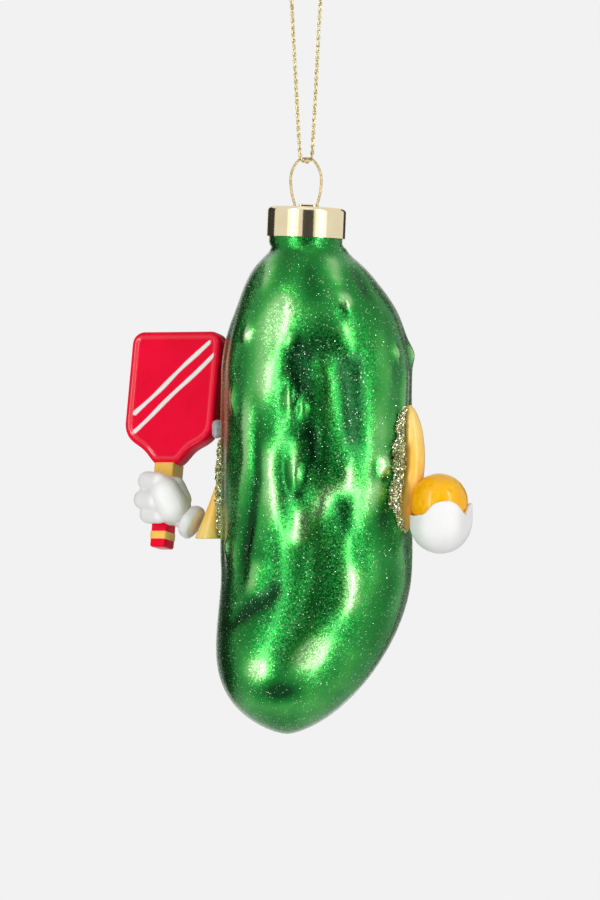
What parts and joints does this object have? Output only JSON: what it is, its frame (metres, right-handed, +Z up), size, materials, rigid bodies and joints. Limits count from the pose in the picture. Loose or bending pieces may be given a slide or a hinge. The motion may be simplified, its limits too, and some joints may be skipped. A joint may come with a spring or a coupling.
{
  "type": "pickle ornament",
  "caption": "Blown-glass pickle ornament with gloved arms that hold a paddle and a ball, hung by a gold cap, a wire ring and a cord loop.",
  "frame": {"origin": "the point where a hook bears in the top of the cord's loop, straight above the wire ring", "axes": "+Z up along the hanging cord, +X to the ball's side, -Y to the side that the picture shows"},
  "size_m": [0.0769, 0.0426, 0.1789],
  "materials": {
    "gold_thread": "twisted metallic thread",
    "hanger_wire": "drawn wire, bright",
    "cap_gold": "polished",
    "green_glass": "silvered inside, glossy green lacquer with silver glitter dust",
    "paddle_red": "glossy hand-painted resin",
    "stripe_white": "glossy paint",
    "paddle_yellow": "glossy hand-painted resin",
    "glove_white": "satin paint",
    "sleeve_yellow": "satin paint",
    "gold_glitter": "coarse glitter in glue",
    "clear_glue": "clear hardened glue",
    "ball_orange": "glossy paint"
  },
  "bodies": {
    "cord": {"hanging_cord": "gold_thread", "cord_knot": "gold_thread"},
    "wire": {"hanger_wire": "hanger_wire"},
    "cap": {"hanger_cap": "cap_gold"},
    "pickle": {"glass_body": "green_glass", "paddle_blade": "paddle_red", "blade_stripes": "stripe_white", "paddle_handle": "paddle_yellow", "paddle_grip": "paddle_red", "grip_band": "paddle_yellow", "paddle_glove": "glove_white", "paddle_glove_cuff": "glove_white", "paddle_arm": "sleeve_yellow", "paddle_arm_glitter": "gold_glitter", "paddle_glue_dab": "clear_glue", "ball": "ball_orange", "ball_glove": "glove_white", "ball_arm": "sleeve_yellow", "ball_arm_glitter": "gold_glitter"}
  },
  "joints": [
    {"name": "ring_swing", "type": "hinge", "parent": "cord", "child": "wire", "pos_m": [0, 0, -0.045], "axis": [1, 0, 0], "range_deg": [-90, 90]},
    {"name": "wire_pull", "type": "slide", "parent": "wire", "child": "cap", "axis": [-0.0419, 0, -0.9991], "range_m": [0, 0.016]},
    {"name": "cap_turn", "type": "hinge", "parent": "cap", "child": "pickle", "pos_m": [0.00025, 0, -0.05585], "axis": [0.0419, 0, 0.9991], "continuous": true}
  ]
}
